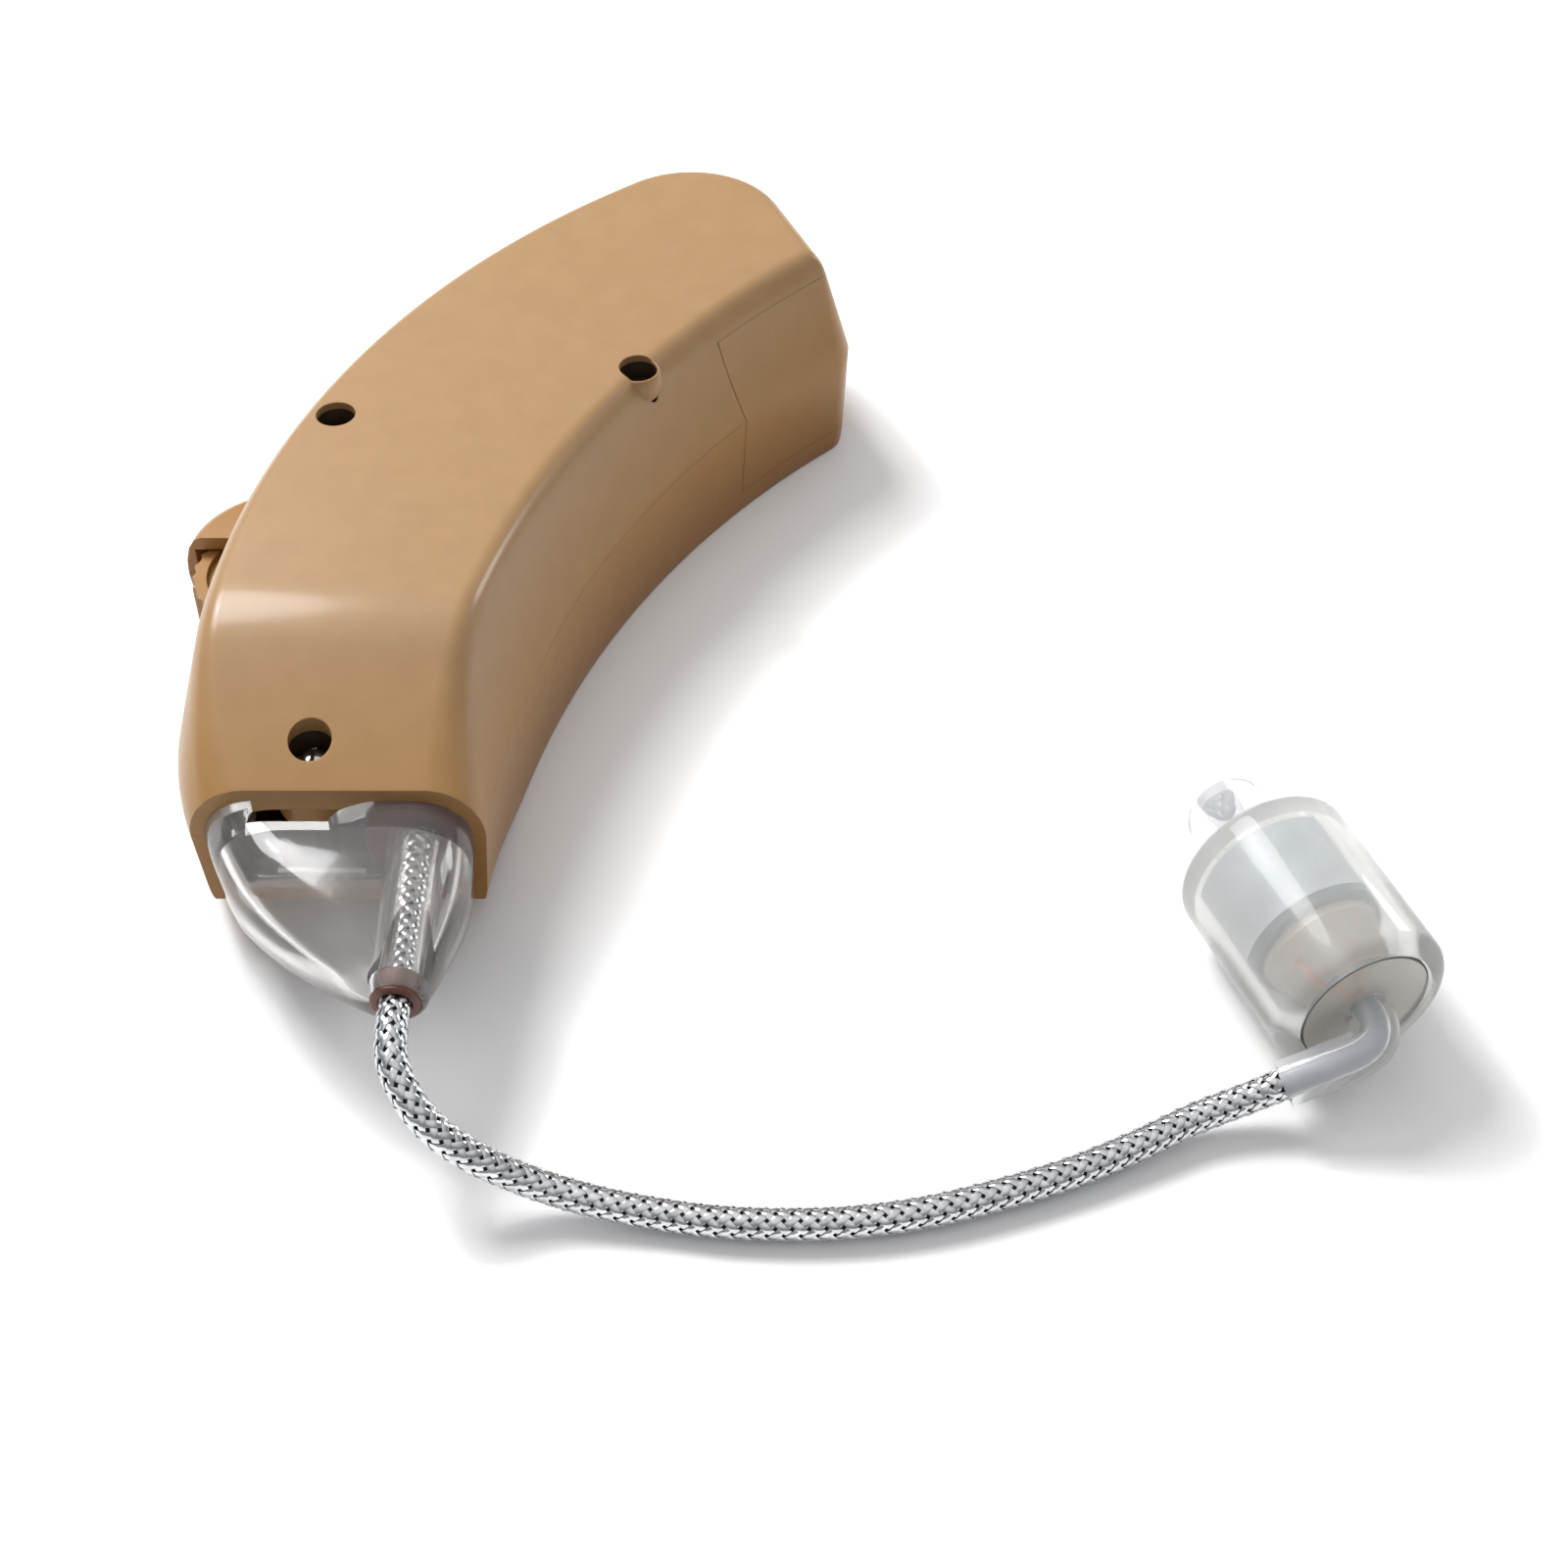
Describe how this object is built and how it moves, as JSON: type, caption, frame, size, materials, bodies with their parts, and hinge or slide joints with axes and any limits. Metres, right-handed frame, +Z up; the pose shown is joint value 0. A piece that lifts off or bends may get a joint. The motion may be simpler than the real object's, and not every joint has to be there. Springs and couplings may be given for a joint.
{
  "type": "behind-the-ear hearing aid",
  "caption": "Curved behind-the-ear case with a hinged battery door, a volume wheel and a clear nozzle, joined by a braided lead to a small clear receiver with a nub for an ear tip.",
  "frame": {"origin": "under the axis of the battery, on the flat face that the case rests on", "axes": "+Z up out of the rest face, along the battery's axis; +X to the right and +Y away from a viewer who looks at the hollow side from the front"},
  "size_m": [0.0448, 0.0505, 0.0096],
  "materials": {
    "case_plastic": "glossy skin-toned plastic",
    "clear_plastic": "clear polished plastic",
    "milky_plastic": "milky translucent plastic",
    "brown_rubber": "reddish brown, satin",
    "rubber": "matt black",
    "braid": "fine silver braid",
    "steel": "plain bright steel",
    "cell_steel": "nickel-plated sheet",
    "brass": "plain brass",
    "copper": "bare copper",
    "board": "green lacquered board",
    "dark_plastic": "moulded black",
    "ceramic": "fired tan ceramic",
    "magnet": "bare dark grey",
    "film": "thin amber film"
  },
  "bodies": {
    "case": {"upper_shell": "case_plastic", "lower_shell": "case_plastic", "case_screws": "brass", "door_pin": "steel", "contact_positive": "steel", "contact_negative": "steel", "wheel_axle": "steel", "volume_control": "dark_plastic", "circuit_board": "board", "amplifier_chip": "dark_plastic", "capacitors": "ceramic", "microphone": "steel", "microphone_sleeve": "rubber", "microphone_wires": "copper", "nozzle": "clear_plastic", "nozzle_seal": "brown_rubber", "lead_bush": "brown_rubber", "lead": "braid", "lead_tail": "braid", "lead_crimp": "brass", "lead_wires": "copper", "receiver_case": "milky_plastic", "receiver_cap": "milky_plastic", "sound_nub": "clear_plastic", "wax_screen": "steel", "speaker_capsule": "cell_steel", "speaker_magnet": "magnet", "speaker_coil": "copper", "speaker_diaphragm": "film", "terminal_disc": "board", "receiver_wires": "copper", "strain_relief": "clear_plastic", "lead_end": "braid"},
    "wheel": {"volume_wheel": "case_plastic"},
    "door": {"battery_door": "case_plastic", "battery": "cell_steel"}
  },
  "joints": [
    {"name": "volume_turn", "type": "hinge", "parent": "case", "child": "wheel", "pos_m": [-0.01546, -0.01771, 0.0048], "axis": [0, 0, 1], "range_deg": [-135, 135]},
    {"name": "battery_door_swing", "type": "hinge", "parent": "case", "child": "door", "pos_m": [0.0021, -0.00429, 0.0048], "axis": [0, 0, -1], "range_deg": [0, 90]}
  ]
}
